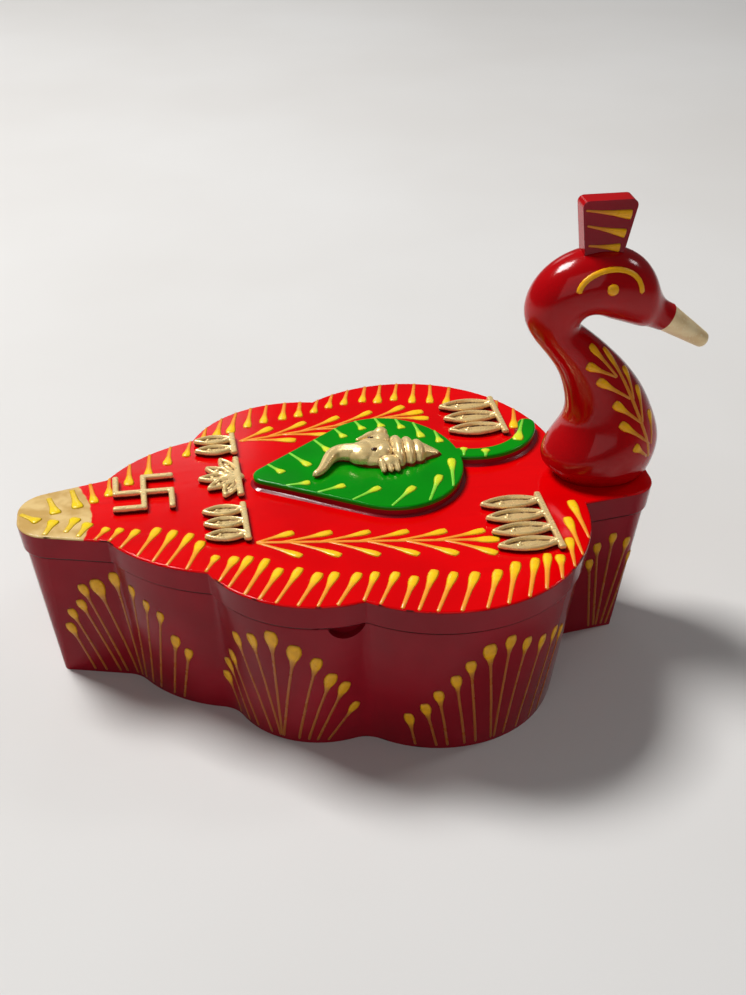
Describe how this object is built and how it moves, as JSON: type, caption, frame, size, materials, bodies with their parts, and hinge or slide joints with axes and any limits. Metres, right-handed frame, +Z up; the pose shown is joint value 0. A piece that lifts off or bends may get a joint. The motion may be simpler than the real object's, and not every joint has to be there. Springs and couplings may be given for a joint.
{
  "type": "kumkum box",
  "caption": "Peacock-shaped painted wooden kumkum box: scalloped tapered body with compartments, lift-off lid with raised leaf and gilt castings, S-curved neck with crest and beak.",
  "frame": {"origin": "middle of the box's length and width, on the table under the base", "axes": "+X from the tail to the beak, +Y to the peacock's left, +Z up"},
  "size_m": [0.2474, 0.1614, 0.1702],
  "materials": {
    "wall_paint": "maroon gloss lacquer on wood",
    "lid_paint": "bright red gloss lacquer on wood",
    "pocket_paint": "red lacquer on wood",
    "base_wood": "red lacquer on wood",
    "leaf_paint": "green gloss lacquer on wood",
    "neck_paint": "deep red gloss lacquer on wood",
    "crest_paint": "maroon gloss lacquer on wood",
    "beak_paint": "gold paint on wood",
    "gold_casting": "cast, gold plated",
    "screw_steel": "zinc plated"
  },
  "bodies": {
    "box": {"box_wall": "wall_paint", "base_board": "base_wood", "divider_rear": "pocket_paint", "divider_front": "pocket_paint"},
    "lid": {"lid_board": "lid_paint", "lid_lip": "pocket_paint", "leaf_plate": "leaf_paint", "ganesha_figure": "gold_casting", "swastika_ornament": "gold_casting", "rear_casting_far": "gold_casting", "rear_casting_middle": "gold_casting", "rear_casting_near": "gold_casting", "front_casting_far": "gold_casting", "front_casting_near": "gold_casting", "neck": "neck_paint", "beak": "beak_paint", "crest": "crest_paint", "neck_screw": "screw_steel"}
  },
  "joints": [
    {"name": "lid_lift", "type": "slide", "parent": "box", "child": "lid", "axis": [0, 0, 1], "range_m": [0, 0.08]}
  ]
}
